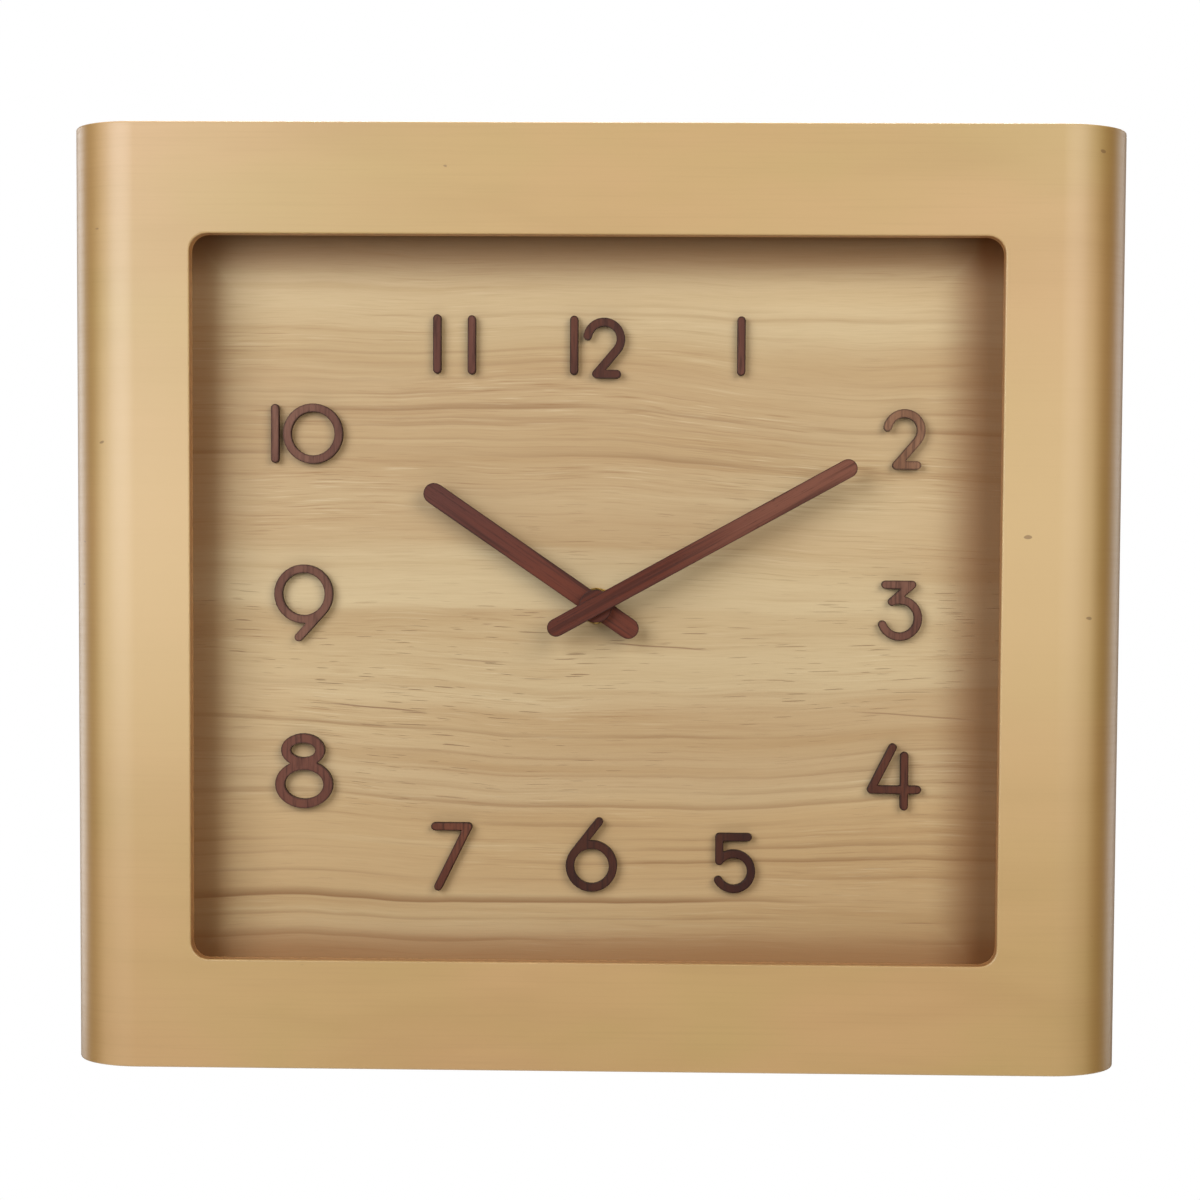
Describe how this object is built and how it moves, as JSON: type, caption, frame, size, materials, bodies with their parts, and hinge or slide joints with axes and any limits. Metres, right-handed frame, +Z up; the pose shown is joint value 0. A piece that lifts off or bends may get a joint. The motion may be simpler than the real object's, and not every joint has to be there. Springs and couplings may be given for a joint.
{
  "type": "wall clock",
  "caption": "Wooden wall clock with a bent-wood case, a recessed pine dial with raised numerals, two wooden hands and a battery quartz movement.",
  "frame": {"origin": "the point on the wall plane where the wall hook carries the keyhole plate", "axes": "+X to the right as seen from the front, +Y back into the wall, +Z up; the dial faces -Y"},
  "size_m": [0.4, 0.072, 0.356],
  "materials": {
    "lacquered_wood": "satin clear lacquer on pale bent wood",
    "board_wood": "sawn and sanded, no lacquer",
    "dial_wood": "open-grained pine, matte",
    "numeral_wood": "dark purplish brown wood, matte",
    "hand_wood": "reddish brown wood, waxed",
    "brass": "bright machined",
    "steel": "zinc plated",
    "iron": "soft iron and sintered magnet, plain",
    "black_plastic": "fine-textured moulding",
    "white_plastic": "smooth moulding",
    "rubber": "matte",
    "circuit_board": "solder mask",
    "copper_winding": "enamelled wire",
    "cell_jacket": "plain printed jacket, no lettering"
  },
  "bodies": {
    "case": {"case_shell": "lacquered_wood", "top_board": "lacquered_wood", "bottom_board": "lacquered_wood", "dial_panel": "dial_wood", "spacer_left": "board_wood", "spacer_right": "board_wood", "spacer_top": "board_wood", "spacer_bottom": "board_wood", "hanging_rail": "board_wood", "hanger_plate": "steel", "hanger_screw_left": "steel", "hanger_screw_right": "steel", "dial_screw_upper_left": "steel", "dial_screw_upper_right": "steel", "dial_screw_lower_left": "steel", "dial_screw_lower_right": "steel", "numeral_1": "numeral_wood", "numeral_2": "numeral_wood", "numeral_3": "numeral_wood", "numeral_4": "numeral_wood", "numeral_5": "numeral_wood", "numeral_6": "numeral_wood", "numeral_7": "numeral_wood", "numeral_8": "numeral_wood", "numeral_9": "numeral_wood", "numeral_10_one": "numeral_wood", "numeral_10_zero": "numeral_wood", "numeral_11_left": "numeral_wood", "numeral_11_right": "numeral_wood", "numeral_12_one": "numeral_wood", "numeral_12_two": "numeral_wood", "movement_housing": "black_plastic", "movement_rear_cover": "black_plastic", "middle_plate": "white_plastic", "threaded_bush": "brass", "rubber_washer": "rubber", "flat_washer": "brass", "hex_nut": "brass", "stator": "iron", "coil_core": "iron", "coil_bobbin": "white_plastic", "coil_winding": "copper_winding", "circuit_board": "circuit_board", "quartz_crystal": "steel", "positive_contact": "steel", "negative_contact": "steel"},
    "minute": {"minute_arbor": "brass", "minute_hand": "hand_wood", "minute_hand_hub": "hand_wood"},
    "hour": {"hour_wheel": "white_plastic", "hour_hand": "hand_wood", "hour_hand_bush": "brass"},
    "motion": {"motion_wheel": "white_plastic"},
    "knob": {"setting_knob": "white_plastic"},
    "fifth": {"fifth_wheel": "white_plastic"},
    "rotor_magnet": {"rotor": "iron"},
    "seconds": {"seconds_wheel": "white_plastic"},
    "third": {"third_wheel": "white_plastic"},
    "centre": {"centre_wheel": "white_plastic"},
    "cell": {"battery": "cell_jacket"}
  },
  "joints": [
    {"name": "minute_turn", "type": "hinge", "parent": "case", "child": "minute", "pos_m": [0, -0.0438, -0.1529], "axis": [0, 1, 0], "continuous": true},
    {"name": "hour_turn", "type": "hinge", "parent": "case", "child": "hour", "pos_m": [0, -0.0438, -0.1529], "axis": [0, 1, 0], "continuous": true},
    {"name": "motion_turn", "type": "hinge", "parent": "case", "child": "motion", "pos_m": [-0.0096, -0.0438, -0.1529], "axis": [0, 1, 0], "continuous": true},
    {"name": "knob_turn", "type": "hinge", "parent": "case", "child": "knob", "pos_m": [-0.01791, -0.0438, -0.1481], "axis": [0, 1, 0], "continuous": true},
    {"name": "fifth_turn", "type": "hinge", "parent": "case", "child": "fifth", "pos_m": [-0.00156, -0.0438, -0.14404], "axis": [0, 1, 0], "continuous": true},
    {"name": "rotor_turn", "type": "hinge", "parent": "case", "child": "rotor_magnet", "pos_m": [-0.00946, -0.0438, -0.14116], "axis": [0, 1, 0], "continuous": true},
    {"name": "seconds_turn", "type": "hinge", "parent": "case", "child": "seconds", "pos_m": [0, -0.0438, -0.1529], "axis": [0, 1, 0], "continuous": true},
    {"name": "third_turn", "type": "hinge", "parent": "case", "child": "third", "pos_m": [0.01005, -0.0438, -0.15021], "axis": [0, 1, 0], "continuous": true},
    {"name": "centre_turn", "type": "hinge", "parent": "case", "child": "centre", "pos_m": [0, -0.0438, -0.1529], "axis": [0, 1, 0], "continuous": true},
    {"name": "battery_slide", "type": "slide", "parent": "case", "child": "cell", "axis": [0, 1, 0], "range_m": [0, 0.06]}
  ],
  "couplings": [
    {"joint": "hour_turn", "follows": "minute_turn", "ratio": 0.083333},
    {"joint": "motion_turn", "follows": "minute_turn", "ratio": -0.33333},
    {"joint": "knob_turn", "follows": "minute_turn", "ratio": 1},
    {"joint": "rotor_turn", "follows": "fifth_turn", "ratio": -6},
    {"joint": "seconds_turn", "follows": "fifth_turn", "ratio": -0.2},
    {"joint": "third_turn", "follows": "fifth_turn", "ratio": 0.026667},
    {"joint": "centre_turn", "follows": "fifth_turn", "ratio": -0.0033333}
  ]
}
